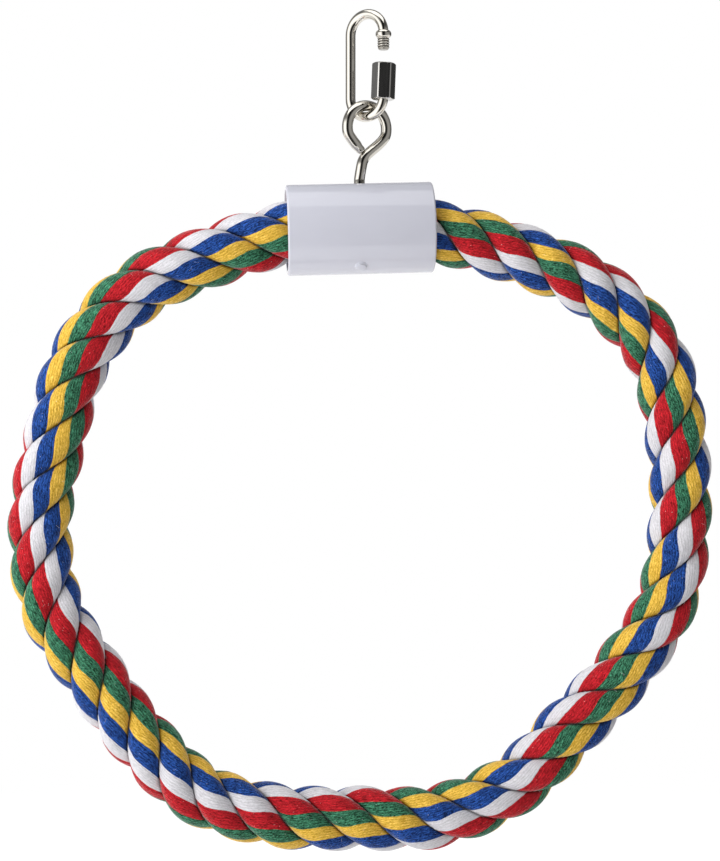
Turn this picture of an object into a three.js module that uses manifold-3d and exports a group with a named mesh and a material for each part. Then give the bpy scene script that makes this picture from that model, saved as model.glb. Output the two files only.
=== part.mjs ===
// A rope ring swing for a cage bird: a three-strand cotton rope, stiffened by a core wire and bent
// into a ring, whose ends meet inside a plastic sleeve. A bent eye screw through the sleeve hangs
// the ring from an open quick link with a long hexagon nut.
// Millimetres, +Z up. The ring lies in the XZ plane and faces -Y. The origin is the point where the
// inside of the link's top bend rests on the hook or cage bar that carries the swing.

import * as THREE from 'three';
import { mergeVertices } from 'three/addons/utils/BufferGeometryUtils.js';
import Module from 'manifold-3d';

const wasm = await Module();
wasm.setup();

// Fits
const fitGap = 0.3;              // clearance between pieces that touch on the real object
const facetSlack = 0.12;         // more room where flat facets stand for a round bore

// Rope
const ropeRadius = 11.6;         // over the crests of the strands
const strandCount = 3;
const strandCentre = 4.9;        // distance of a strand's middle from the rope's axis
const strandHalfWidth = 7.2;     // half width of a strand in a square cut through the rope
const strandGap = 0.5;           // between the flanks of neighbouring strands
const layLength = 50.45;         // rope length in which a strand goes once round
const layStart = 39.9;           // from the sleeve's middle to where the first strand faces the front
const laySlack = 2.4;            // how far behind the lay falls at the ring's bottom
const layTight = 1.2;            // and how far ahead it runs where the rope leaves the sleeve
const laySteps = 10;             // sections in one lay
const arcSteps = 8;              // facets on the outside of a strand's section
const coreDiameter = 2.5;
const ropeEnd = 8;               // from the sleeve's middle to each cut end of the rope
const ropeStraight = 16;         // from the sleeve's middle to where the rope starts to bend

// Sleeve and the taped rope ends inside it
const sleeveLength = 52.7;
const sleeveWall = 1.8;
const sleeveRoom = 2.9;          // between the rope and the sleeve's bore, all round
const sleeveEdge = 0.6;          // rounding of the sleeve's outer rims
const sleeveTilt = THREE.MathUtils.degToRad(1.7);
const sleeveShift = -2.7;        // sideways, from below the hanging point
const tapeLength = 7;

// Eye screw and its cap
const eyeWire = 3.9;
const eyeRadius = 8;             // of the loop, to the middle of the wire
const neckRise = 1.4;            // straight length of the shank above the sleeve
const eyeTurn = THREE.MathUtils.degToRad(25);
const eyeDrop = 44.35;           // from the top of the loop to the sleeve's axis
const screwTilt = THREE.MathUtils.degToRad(15);   // it goes in at the top and comes out low on the front
const tipDiameter = 1.8;
const tipTaper = 2;
const capDiameter = 4.3;
const capHeight = 1.3;
const capSkin = 0.7;             // plastic left over the end of the tip

// Quick link
const linkWire = 3.6;
const linkHeight = 40.6;         // over the outsides of the bends
const linkPitch = 14.25;         // between the middles of the two legs
const linkTurn = THREE.MathUtils.degToRad(38);
const collarDiameter = 5.7;
const collarLength = 3;
const collarDrop = 4.6;          // from the inside of the top bend to the collar
const threadDiameter = 4.4;
const threadDepth = 0.35;
const threadPitch = 0.9;
const stubLength = 4.1;
const legLength = 11.6;          // straight length of the lower leg, from the bottom bend to its tip
const legThread = 6;             // threaded length of the lower end
const nutFlats = 7.7;
const nutLength = 13.1;
const nutChamfer = 0.5;

// Sizes that follow
const boreRadius = ropeRadius + sleeveRoom;
const sleeveRadius = boreRadius + sleeveWall;
const bendRadius = linkPitch / 2;
const topAxis = linkWire / 2;
const bottomAxis = topAxis - (linkHeight - linkWire);
const eyeTop = bottomAxis + (linkWire + eyeWire) / 2 + fitGap;
const sleeveMiddle = new THREE.Vector3(sleeveShift, 0, eyeTop - eyeDrop);
const sleeveAxis = new THREE.Vector3(Math.cos(sleeveTilt), 0, Math.sin(sleeveTilt));
const stubTop = -collarDrop - collarLength;
const legTip = bottomAxis + bendRadius + legLength;

// The ring's route, clockwise as seen from the front, as [right, up] from the sleeve's middle.
const routePoints = [
  [27.8, -1.0], [56.0, -8.3], [84.6, -20.6], [107.1, -43.1], [115.4, -74.1], [116.8, -105.0],
  [111.8, -134.9], [95.7, -160.1], [76.1, -181.0], [55.4, -200.8], [28.7, -211.6], [0.1, -212.1],
  [-28.3, -211.0], [-56.5, -203.1], [-78.0, -183.1], [-95.1, -159.9], [-110.3, -134.6],
  [-114.0, -104.9], [-108.7, -75.8], [-100.0, -47.2], [-81.1, -23.8], [-54.4, -10.6], [-27.2, -2.2],
];

// Materials
const cotton = (color) => new THREE.MeshStandardMaterial({ color, roughness: 0.95, metalness: 0 });
const nickel = () => new THREE.MeshStandardMaterial({ color: 0xb9b4aa, roughness: 0.2, metalness: 1 });
const darkNickel = () => new THREE.MeshStandardMaterial({ color: 0x77757a, roughness: 0.3, metalness: 1 });
const whitePlastic = () => new THREE.MeshStandardMaterial({ color: 0xdcdce2, roughness: 0.35, metalness: 0 });
const tapeFilm = () => new THREE.MeshStandardMaterial({ color: 0xc9c4b8, roughness: 0.6, metalness: 0 });
const steel = () => new THREE.MeshStandardMaterial({ color: 0x8d8d90, roughness: 0.4, metalness: 1 });

// Solids and booleans
function toSolid(geometry) {
  const bare = geometry.clone();
  bare.deleteAttribute('normal');
  bare.deleteAttribute('uv');
  const merged = mergeVertices(bare, 1e-4);
  return new wasm.Manifold(new wasm.Mesh({
    numProp: 3,
    vertProperties: new Float32Array(merged.attributes.position.array),
    triVerts: new Uint32Array(merged.index.array),
  }));
}

function toGeometry(solid) {
  const mesh = solid.getMesh();
  const geometry = new THREE.BufferGeometry();
  geometry.setAttribute('position', new THREE.BufferAttribute(new Float32Array(mesh.vertProperties), 3));
  geometry.setIndex(new THREE.BufferAttribute(new Uint32Array(mesh.triVerts), 1));
  geometry.computeVertexNormals();
  return geometry;
}

function addMesh(parent, name, geometry, material) {
  const mesh = new THREE.Mesh(geometry, material);
  mesh.name = name;
  parent.add(mesh);
  return mesh;
}

// A round section with flat sides, for wires
function wireSection(radius, sides) {
  const corners = [];
  for (let i = 0; i < sides; i += 1) {
    const angle = (2 * Math.PI * i) / sides;
    corners.push(new THREE.Vector2(radius * Math.cos(angle), radius * Math.sin(angle)));
  }
  return new THREE.Shape(corners);
}

function wireAlong(curve, diameter, sides, steps) {
  const options = { steps, bevelEnabled: false, extrudePath: curve };
  return new THREE.ExtrudeGeometry(wireSection(diameter / 2, sides), options);
}

// A turned piece along +Z from [radius, height] points
function turned(profile, segments, start = 0) {
  const points = profile.map(([radius, height]) => new THREE.Vector2(radius, height));
  return new THREE.LatheGeometry(points, segments, start).rotateX(Math.PI / 2);
}

// A turned ring that closes on itself
function turnedRing(profile, segments) {
  return turned([...profile, profile[0]], segments);
}

// Turns a piece made along +Z to point along a direction, from a base point
function aimed(geometry, direction, base) {
  const up = new THREE.Vector3(0, 0, 1);
  const turn = new THREE.Quaternion().setFromUnitVectors(up, direction.clone().normalize());
  return geometry.applyQuaternion(turn).translate(base.x, base.y, base.z);
}

// A threaded rod along +Z, from its lower end
function threadedRod(length) {
  const crest = threadDiameter / 2;
  const root = crest - threadDepth;
  const turns = Math.floor(length / threadPitch);
  const profile = [[0, 0], [root, 0]];
  for (let i = 0; i < turns; i += 1) {
    profile.push([crest, (i + 0.5) * threadPitch], [root, (i + 1) * threadPitch]);
  }
  if (length - turns * threadPitch > 1e-6) profile.push([root, length]);
  profile.push([0, length]);
  return turned(profile, 12);
}

// The rope's route as a curve through the sleeve's ends and the ring
function ropeRoute() {
  const inSleeve = (distance) => sleeveMiddle.clone().addScaledVector(sleeveAxis, distance);
  const ring = routePoints.map(([right, up]) => (
    new THREE.Vector3(sleeveMiddle.x + right, 0, sleeveMiddle.z + up)));
  return new THREE.CatmullRomCurve3([
    inSleeve(ropeEnd), inSleeve(ropeStraight),
    ...ring,
    inSleeve(-ropeStraight), inSleeve(-ropeEnd),
  ], false, 'centripetal');
}

// A strand's outline in a square cut through the rope, as [outward, sideways] from the rope's axis:
// a flattened lobe, flanks beside the neighbouring strands and a hollow for the core wire.
function strandOutline() {
  const sector = Math.PI / strandCount;
  const lobeHeight = ropeRadius - strandCentre;
  const rise = lobeHeight * Math.sin(sector);
  const spread = strandHalfWidth * Math.cos(sector);
  const toFlank = (strandGap / 2 - strandCentre * Math.sin(sector)) / Math.hypot(rise, spread);
  const lastAngle = Math.acos(toFlank) - Math.atan2(spread, rise);
  const outline = [];
  for (let i = 0; i <= arcSteps; i += 1) {
    const angle = lastAngle * ((2 * i) / arcSteps - 1);
    outline.push([
      strandCentre + lobeHeight * Math.cos(angle),
      strandHalfWidth * Math.sin(angle),
    ]);
  }
  const hollow = (coreDiameter / 2 + fitGap) / Math.cos(sector / 2);
  const corner = sector - Math.asin(strandGap / 2 / hollow);
  outline.push([hollow * Math.cos(corner), hollow * Math.sin(corner)]);
  outline.push([hollow, 0]);
  outline.push([hollow * Math.cos(corner), -hollow * Math.sin(corner)]);
  return outline;
}

// Joins rings of points into one closed body. The last side's diagonals are turned, so that its facets
// match those of the flank that it faces.
function bodyFromRings(rings, outline) {
  const count = outline.length;
  const indices = [];
  for (let ring = 0; ring < rings.length - 1; ring += 1) {
    for (let i = 0; i < count; i += 1) {
      const next = (i + 1) % count;
      const a = ring * count + i;
      const b = ring * count + next;
      const c = b + count;
      const d = a + count;
      if (next === 0) indices.push(a, b, c, a, c, d);
      else indices.push(a, b, d, b, c, d);
    }
  }
  const flat = outline.map(([outward, sideways]) => new THREE.Vector2(outward, sideways));
  const lastRing = (rings.length - 1) * count;
  for (const [i, j, k] of THREE.ShapeUtils.triangulateShape(flat, [])) {
    indices.push(k, j, i);
    indices.push(lastRing + i, lastRing + j, lastRing + k);
  }
  const geometry = new THREE.BufferGeometry();
  geometry.setAttribute('position', new THREE.Float32BufferAttribute(rings.flat(2), 3));
  geometry.setIndex(indices);
  geometry.computeVertexNormals();
  return geometry;
}

// One strand, laid right-handed round the route
function ropeStrand(route, strand) {
  const outline = strandOutline();
  const length = route.getLength();
  const steps = Math.round((length / layLength) * laySteps);
  const front = new THREE.Vector3(0, -1, 0);
  const firstFront = layStart + (strand * layLength) / strandCount;
  const rings = [];
  for (let step = 0; step <= steps; step += 1) {
    const along = step / steps;
    const middle = route.getPointAt(along);
    const tangent = route.getTangentAt(along);
    const outside = new THREE.Vector3().crossVectors(front, tangent).normalize();
    const behind = laySlack * Math.sin(Math.PI * along) ** 4 - layTight * (1 - along) ** 4;
    const fromFront = ropeEnd + along * length - firstFront - behind;
    const turn = Math.PI / 2 + (2 * Math.PI * fromFront) / layLength;
    const outward = outside.clone().multiplyScalar(Math.cos(turn)).addScaledVector(front, Math.sin(turn));
    const sideways = front.clone().multiplyScalar(Math.cos(turn)).addScaledVector(outside, -Math.sin(turn));
    rings.push(outline.map(([out, side]) => (
      middle.clone().addScaledVector(outward, out).addScaledVector(sideways, side).toArray())));
  }
  return bodyFromRings(rings, outline);
}

// The line of the eye screw: from its tip up through the sleeve, past the bent neck and round the loop.
// Distances along it count up from the top of the sleeve, where it goes in.
const screwAxis = new THREE.Vector3(0, Math.sin(screwTilt), Math.cos(screwTilt));
const screwTop = sleeveMiddle.clone().add(new THREE.Vector3(0, 0, sleeveRadius));
const onScrew = (distance) => screwTop.clone().addScaledVector(screwAxis, distance);
const screwReach = 2 * sleeveRadius * Math.cos(screwTilt);
const shankLength = screwReach - 2 * sleeveWall - tipTaper;
const tipOutward = new THREE.Vector3(0, -Math.sin(2 * screwTilt), -Math.cos(2 * screwTilt));

function eyeCurve() {
  const loopSteps = 12;
  const loopOpening = THREE.MathUtils.degToRad(112);
  const neck = onScrew(neckRise);
  const top = new THREE.Vector3(0, 0, eyeTop);
  const lean = Math.atan2(neck.y, eyeTop - neck.z);
  const right = new THREE.Vector3(Math.cos(eyeTurn), Math.sin(eyeTurn), 0);
  const down = new THREE.Vector3(0, Math.sin(lean), -Math.cos(lean));
  const inLoop = (across, below) => (
    top.clone().addScaledVector(right, across).addScaledVector(down, below));
  const points = [onScrew(-shankLength), onScrew(-shankLength / 2), onScrew(-sleeveWall), neck];
  // The bends of the neck and of the loop's free end, as [across, below] in radii of the loop
  const neckBends = [[-0.28, 2.72], [-0.17, 2.4], [0.14, 2.12], [0.46, 1.85], [0.76, 1.57]];
  const closingEnd = [[-0.75, 1.57], [-0.49, 1.85], [-0.24, 2.08]];
  for (const [across, below] of neckBends) points.push(inLoop(across * eyeRadius, below * eyeRadius));
  for (let i = 0; i <= loopSteps; i += 1) {
    const angle = loopOpening * (1 - (2 * i) / loopSteps);
    points.push(inLoop(eyeRadius * Math.sin(angle), eyeRadius * (1 - Math.cos(angle))));
  }
  for (const [across, below] of closingEnd) points.push(inLoop(across * eyeRadius, below * eyeRadius));
  return new THREE.CatmullRomCurve3(points, false, 'centripetal');
}

function eyeScrew() {
  const wire = toSolid(wireAlong(eyeCurve(), eyeWire, 10, 72));
  const root = eyeWire / 2;
  const tip = tipDiameter / 2;
  const tipStart = shankLength - tipTaper / 4;
  const tipEnd = screwReach + capHeight - capSkin - fitGap - tipStart;
  const tipProfile = [[0, 0], [root, 0], [tip, tipTaper], [tip, tipEnd], [0, tipEnd]];
  const point = toSolid(aimed(turned(tipProfile, 12), screwAxis.clone().negate(), onScrew(-tipStart)));
  return toGeometry(wire.add(point));
}

// The white cap that covers the tip where it comes out of the sleeve. The tip goes in at a slant, so the
// hole in the cap is wider than the tip.
function tipCap() {
  const radius = capDiameter / 2;
  const hole = tipDiameter / 2 + fitGap + capHeight * Math.tan(screwTilt);
  const holeDepth = capHeight - capSkin;
  const domeSteps = 4;
  const profile = [[0, holeDepth], [hole, holeDepth], [hole, 0]];
  for (let i = 0; i <= domeSteps; i += 1) {
    const angle = (Math.PI / 2) * (i / domeSteps);
    profile.push([radius * Math.cos(angle), capHeight * Math.sin(angle)]);
  }
  const base = onScrew(-screwReach).addScaledVector(tipOutward, fitGap);
  return aimed(turned(profile, 16), tipOutward, base);
}

// The sleeve, drilled through for the screw
function sleeveTube() {
  const half = sleeveLength / 2;
  const rim = sleeveRadius - sleeveEdge;
  const profile = [
    [boreRadius, -half], [rim, -half], [sleeveRadius, sleeveEdge - half],
    [sleeveRadius, half - sleeveEdge], [rim, half], [boreRadius, half],
  ];
  const tube = toSolid(aimed(turnedRing(profile, 40), sleeveAxis, sleeveMiddle));
  const drill = (radius, direction) => {
    const reach = sleeveRadius + 2 * sleeveWall;
    const pin = turned([[0, 0], [radius, 0], [radius, reach], [0, reach]], 16);
    return toSolid(aimed(pin, direction, onScrew(-sleeveRadius)));
  };
  const topHole = drill(eyeWire / 2 + fitGap, screwAxis);
  const tipHole = drill(tipDiameter / 2 + fitGap, screwAxis.clone().negate());
  return toGeometry(tube.subtract(topHole).subtract(tipHole));
}

// The tape wound round a cut end of the rope, which fills the sleeve's bore
function endTape(side) {
  const inner = ropeRadius + fitGap + facetSlack;
  const outer = boreRadius - fitGap;
  const profile = [[inner, 0], [outer, 0], [outer, tapeLength], [inner, tapeLength]];
  const direction = sleeveAxis.clone().multiplyScalar(side);
  return aimed(turnedRing(profile, 40), direction, sleeveMiddle.clone().addScaledVector(direction, ropeEnd));
}

// The link's wire, drawn flat as [along the link's plane, up] and then turned about the vertical
class LinkLine extends THREE.Curve {
  constructor() {
    super();
    this.path = new THREE.Path();
    this.path.moveTo(bendRadius, stubTop);
    this.path.absarc(0, topAxis - bendRadius, bendRadius, 0, Math.PI, false);
    this.path.absarc(0, bottomAxis + bendRadius, bendRadius, Math.PI, 2 * Math.PI, false);
    this.path.lineTo(bendRadius, legTip - threadPitch);
  }

  getPoint(t, target = new THREE.Vector3()) {
    const point = this.path.getPointAt(t);
    return target.set(point.x * Math.cos(linkTurn), -point.x * Math.sin(linkTurn), point.y);
  }
}

const legFoot = new THREE.Vector3(bendRadius * Math.cos(linkTurn), -bendRadius * Math.sin(linkTurn), 0);
const onLeg = (height) => new THREE.Vector3(legFoot.x, legFoot.y, height);
const upwards = new THREE.Vector3(0, 0, 1);

function quickLink() {
  const wire = toSolid(wireAlong(new LinkLine(), linkWire, 10, 54));
  const stub = toSolid(aimed(threadedRod(stubLength + threadPitch), upwards, onLeg(stubTop - stubLength)));
  const radius = collarDiameter / 2;
  const edge = radius - collarLength / 4;
  const collarProfile = [
    [0, 0], [edge, 0], [radius, 0.3 * collarLength], [radius, 0.7 * collarLength], [edge, collarLength],
    [0, collarLength],
  ];
  const collar = toSolid(aimed(turned(collarProfile, 16), upwards, onLeg(stubTop)));
  const leg = toSolid(aimed(threadedRod(legThread), upwards, onLeg(legTip - legThread)));
  return toGeometry(wire.add(stub).add(collar).add(leg));
}

// The long nut, with one flat facing the front, screwed down clear of the gate
function linkNut() {
  const corner = nutFlats / Math.sqrt(3);
  const rim = corner - nutChamfer;
  const profile = [
    [0, 0], [rim, 0], [corner, nutChamfer],
    [corner, nutLength - nutChamfer], [rim, nutLength], [0, nutLength],
  ];
  const bore = threadDiameter / 2 + fitGap;
  const overrun = 1;             // of the drill, past each end of the nut
  const past = nutLength + overrun;
  const body = toSolid(aimed(turned(profile, 6, Math.PI / 6), upwards, onLeg(legTip - nutLength)));
  const drillProfile = [[0, -overrun], [bore, -overrun], [bore, past], [0, past]];
  const drill = toSolid(aimed(turned(drillProfile, 18), upwards, onLeg(legTip - nutLength)));
  return toGeometry(body.subtract(drill));
}

// Assembly
const birdSwing = new THREE.Group();
const hanger = new THREE.Group();
const ring = new THREE.Group();
birdSwing.add(hanger, ring);

addMesh(hanger, 'quick_link', quickLink(), nickel());
addMesh(hanger, 'link_nut', linkNut(), darkNickel());

addMesh(ring, 'eye_screw', eyeScrew(), nickel());
addMesh(ring, 'tip_cap', tipCap(), whitePlastic());
addMesh(ring, 'sleeve', sleeveTube(), whitePlastic());
addMesh(ring, 'end_tape_right', endTape(1), tapeFilm());
addMesh(ring, 'end_tape_left', endTape(-1), tapeFilm());

const route = ropeRoute();
const strandColors = [0x2e4a92, 0xb02a33, 0x2f6b4a];
for (let strand = 0; strand < strandCount; strand += 1) {
  addMesh(ring, `rope_strand_${strand + 1}`, ropeStrand(route, strand), cotton(strandColors[strand]));
}
addMesh(ring, 'core_wire', wireAlong(route, coreDiameter, 6, 80), steel());

export default birdSwing;
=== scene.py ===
import bisect
import math
import random

import bmesh
import bpy
from mathutils import Matrix, Vector, noise


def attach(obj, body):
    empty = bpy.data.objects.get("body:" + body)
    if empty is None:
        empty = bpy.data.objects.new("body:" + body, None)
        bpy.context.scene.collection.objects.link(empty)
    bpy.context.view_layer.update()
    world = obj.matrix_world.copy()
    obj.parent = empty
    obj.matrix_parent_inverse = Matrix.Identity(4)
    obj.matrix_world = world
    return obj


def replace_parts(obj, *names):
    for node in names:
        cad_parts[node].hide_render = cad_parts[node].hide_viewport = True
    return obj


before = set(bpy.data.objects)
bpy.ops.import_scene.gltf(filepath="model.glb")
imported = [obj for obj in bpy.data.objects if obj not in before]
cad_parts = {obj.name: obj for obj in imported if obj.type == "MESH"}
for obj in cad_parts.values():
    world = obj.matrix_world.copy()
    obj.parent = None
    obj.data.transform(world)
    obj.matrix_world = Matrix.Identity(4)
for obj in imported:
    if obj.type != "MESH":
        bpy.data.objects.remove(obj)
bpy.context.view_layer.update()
mm = 0.001
mergeGap = 1e-6              # points nearer than this are one
fullTurn = 2 * math.pi
facing = Vector((0, -1, 0))  # the ring faces the front
upwards = Vector((0, 0, 1))


# Shader maths: a wrapped socket, so that values combine as plain expressions
class Wire:
    def __init__(self, finish, socket):
        self.finish = finish
        self.socket = socket

    def __add__(self, other):
        return self.finish.maths("ADD", self, other)

    def __radd__(self, other):
        return self.finish.maths("ADD", other, self)

    def __sub__(self, other):
        return self.finish.maths("SUBTRACT", self, other)

    def __rsub__(self, other):
        return self.finish.maths("SUBTRACT", other, self)

    def __mul__(self, other):
        return self.finish.maths("MULTIPLY", self, other)

    def __rmul__(self, other):
        return self.finish.maths("MULTIPLY", other, self)

    def __truediv__(self, other):
        return self.finish.maths("DIVIDE", self, other)

    def __rtruediv__(self, other):
        return self.finish.maths("DIVIDE", other, self)

    def __mod__(self, other):
        return self.finish.maths("FLOORED_MODULO", self, other)

    def __gt__(self, other):
        return self.finish.maths("GREATER_THAN", self, other)

    def __lt__(self, other):
        return self.finish.maths("LESS_THAN", self, other)


class Finish:
    def __init__(self, name, owner=None):
        self.owner = owner or bpy.data.materials.new(name)
        self.owner.use_nodes = True
        self.tree = self.owner.node_tree
        self.shader = self.tree.nodes.get("Principled BSDF")

    def feed(self, socket, value):
        if isinstance(value, Wire):
            self.tree.links.new(value.socket, socket)
        else:
            socket.default_value = value

    def add(self, kind, settings=None, sockets=None, output=0):
        node = self.tree.nodes.new(kind)
        for key, value in (settings or {}).items():
            if key == "stops":
                self.setStops(node.color_ramp, value)
            elif key == "blend":
                node.color_ramp.interpolation = value
            else:
                setattr(node, key, value)
        for key, value in (sockets or {}).items():
            self.feed(node.inputs[key], value)
        return Wire(self, node.outputs[output])

    def setStops(self, ramp, stops):
        while len(ramp.elements) < len(stops):
            ramp.elements.new(1)
        for element, (position, colour) in zip(ramp.elements, stops):
            element.position = position
            element.color = (*colour, 1)

    def maths(self, operation, *values):
        return self.add("ShaderNodeMath", {"operation": operation}, dict(enumerate(values)))

    def mix(self, factor, first, second, blend="MIX"):
        settings = {"data_type": "RGBA", "blend_type": blend}
        return self.add("ShaderNodeMix", settings, {0: factor, 6: first, 7: second}, 2)

    def vector(self, x, y):
        return self.add("ShaderNodeCombineXYZ", None, {0: x, 1: y})

    def part(self, vector, axis):
        return self.add("ShaderNodeSeparateXYZ", None, {0: vector}, axis)

    def ray(self, kind):
        return self.add("ShaderNodeLightPath", None, None, f"Is {kind} Ray")

    def noise(self, place, scale, detail):
        return self.add("ShaderNodeTexNoise", None, {"Vector": place, "Scale": scale, "Detail": detail})

    def stretch(self, value, low, high):
        limits = {"From Min": low, "From Max": high}
        return self.add("ShaderNodeMapRange", {"interpolation_type": "SMOOTHSTEP"}, {0: value, **limits})

    def objectPlace(self, turn=(0, 0, 0), scale=(1, 1, 1)):
        place = self.add("ShaderNodeTexCoord", None, None, "Object")
        return self.add("ShaderNodeMapping", None, {"Vector": place, "Rotation": turn, "Scale": scale})

    def bump(self, height, depth):
        return self.add("ShaderNodeBump", None, {"Height": height, "Strength": 1.0, "Distance": depth})

    def set(self, **sockets):
        for key, value in sockets.items():
            self.feed(self.shader.inputs[key.replace("_", " ")], value)
        return self.owner


# Meshes: a grid wrapped over a surface, a spun profile, and what finishes either
def toScene(name, bm):
    mesh = bpy.data.meshes.new(name)
    bm.to_mesh(mesh)
    bm.free()
    made = bpy.data.objects.new(name, mesh)
    bpy.context.scene.collection.objects.link(made)
    return made


def newPiece(name, bm, body, material, sharpAngle):
    bmesh.ops.remove_doubles(bm, verts=bm.verts, dist=mergeGap)
    openEdges = [edge for edge in bm.edges if edge.is_boundary]
    if openEdges:
        bmesh.ops.holes_fill(bm, edges=openEdges)
    bmesh.ops.recalc_face_normals(bm, faces=bm.faces)
    for face in bm.faces:
        face.smooth = True
    for edge in bm.edges:
        edge.smooth = edge.calc_face_angle(0) < math.radians(sharpAngle)
    piece = toScene(name, bm)
    piece.data.materials.append(material)
    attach(piece, body)
    print(f"{name}: {len(piece.data.polygons)} faces")
    return piece


def wrapGrid(bm, columns, rows, place):
    made = bmesh.ops.create_grid(bm, x_segments=columns, y_segments=rows, size=0.5, calc_uvs=True)
    for vert in made["verts"]:
        vert.co = place(vert.co.x + 0.5, vert.co.y + 0.5)


def spinProfile(bm, profile, base, axis, steps):
    side = axis.orthogonal().normalized()
    verts = [bm.verts.new(base + side * radius + axis * height) for radius, height in profile]
    edges = [bm.edges.new(pair) for pair in zip(verts, verts[1:])]
    bmesh.ops.spin(bm, geom=verts + edges, cent=base, axis=axis, angle=fullTurn, steps=steps, use_merge=True)


def roundCorner(centre, radius, first, last, steps=5):
    angles = [math.radians(first + (last - first) * i / steps) for i in range(steps + 1)]
    return [(centre[0] + radius * math.cos(a), centre[1] + radius * math.sin(a)) for a in angles]


# A smooth line through points, measured along its length
class Line:
    def __init__(self, points, steps=40):
        ends = [points[0] * 2 - points[1], *points, points[-1] * 2 - points[-2]]
        self.points = [points[0]]
        for four in zip(ends, ends[1:], ends[2:], ends[3:]):
            self.points += [self.between(four, i / steps) for i in range(1, steps + 1)]
        self.marks = [0.0]
        for first, second in zip(self.points, self.points[1:]):
            self.marks.append(self.marks[-1] + (second - first).length)
        self.length = self.marks[-1]

    @staticmethod
    def between(four, t):
        p0, p1, p2, p3 = four
        d0, d1, d2 = [math.sqrt((b - a).length) for a, b in zip(four, four[1:])]
        leave = ((p1 - p0) / d0 - (p2 - p0) / (d0 + d1) + (p2 - p1) / d1) * d1
        reach = ((p2 - p1) / d1 - (p3 - p1) / (d1 + d2) + (p3 - p2) / d2) * d1
        bend = (p1 - p2) * 2 + leave + reach
        return p1 + leave * t + ((p2 - p1) * 3 - leave * 2 - reach) * t ** 2 + bend * t ** 3

    def at(self, distance):
        distance = min(max(distance, 0.0), self.length)
        i = min(max(bisect.bisect_right(self.marks, distance) - 1, 0), len(self.marks) - 2)
        share = (distance - self.marks[i]) / (self.marks[i + 1] - self.marks[i])
        return self.points[i].lerp(self.points[i + 1], share)

    def heading(self, distance, reach=0.4 * mm):
        return (self.at(distance + reach) - self.at(distance - reach)).normalized()


# Rope: three strands of ten yarn bundles in five colours
rope = {
    "strands": 3,
    "radius": 11.6 * mm,       # over the crests
    "strandCentre": 4.9 * mm,
    "halfWidth": 7.2 * mm,
    "flankGap": 0.1 * mm,
    "coreRoom": 1.7 * mm,
    "layLength": 50.45 * mm,
    "layStart": 39.9 * mm,     # from the sleeve's middle to the first crest at the front
    "laySlack": 2.4 * mm,      # the lay is slack at the bottom of the ring
    "layTight": 1.2 * mm,      # and tight where the rope leaves the sleeve
    "ends": 8 * mm,            # how far they are from the sleeve's middle
    "straight": 16 * mm,       # up to this distance from it the rope runs straight
    "rowsPerLay": 40,
    "bundles": 10,
    "bundleWidth": 5.2,        # on the crest, in millimetres
    "yarns": 6,                # in one bundle
    "crestSpread": 0.56,       # bundles are wider on the crest than inside
    "bundleGroove": 0.22 * mm,
    "grooveSharpness": 3.5,
    "yarnGroove": 0.07 * mm,
    "wander": 0.09,            # how far a yarn strays sideways, in bundles
    "strays": (2, 60, 9),      # how often, round a strand and along it, and a step between strands
    "unevenness": 0.125 * mm,
    "swells": (2.3, 7.0),      # how often in a lay, and a step between strands
    "patternStep": 20,         # between the patterns of two strands, in lays
    "firstBundle": (2.28, 3.2, 2.0),         # on each strand's crest where it first faces the front
    "bundlesPerLay": (12.27, 12.29, 12.45),
    "lean": 0.12,
    "creep": (                 # how far each strand's bundles stray from that, at even steps along the rope
        (0.0, 0.0, 0.0, 0.0, 0.0, 0.05), (0.05, -0.05, -0.20, -0.50, -0.75, 0.30),
        (-0.40, -0.30, 0.03, 0.15, -0.10, -0.30),
    ),
    "creaseDepth": (8.0 * mm, 9.0 * mm),     # painted shade gathers below these distances from the rope's middle
}
sleevePlace = {"middle": Vector((-2.7, 0, -75.5)) * mm, "tilt": math.radians(1.7)}
sleeveAxis = Vector((math.cos(sleevePlace["tilt"]), 0, math.sin(sleevePlace["tilt"])))
routePoints = [
    (27.8, -1.0), (56.0, -8.3), (84.6, -20.6), (107.1, -43.1), (115.4, -74.1), (116.8, -105.0),
    (111.8, -134.9), (95.7, -160.1), (76.1, -181.0), (55.4, -200.8), (28.7, -211.6), (0.1, -212.1),
    (-28.3, -211.0), (-56.5, -203.1), (-78.0, -183.1), (-95.1, -159.9), (-110.3, -134.6),
    (-114.0, -104.9), (-108.7, -75.8), (-100.0, -47.2), (-81.1, -23.8), (-54.4, -10.6), (-27.2, -2.2),
]


def ropeRoute():
    middle = sleevePlace["middle"]
    ring = [middle + Vector((right, 0, up)) * mm for right, up in routePoints]
    leaving = [middle + sleeveAxis * rope["ends"], middle + sleeveAxis * rope["straight"]]
    coming = [middle - sleeveAxis * rope["straight"], middle - sleeveAxis * rope["ends"]]
    return Line([*leaving, *ring, *coming])


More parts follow.
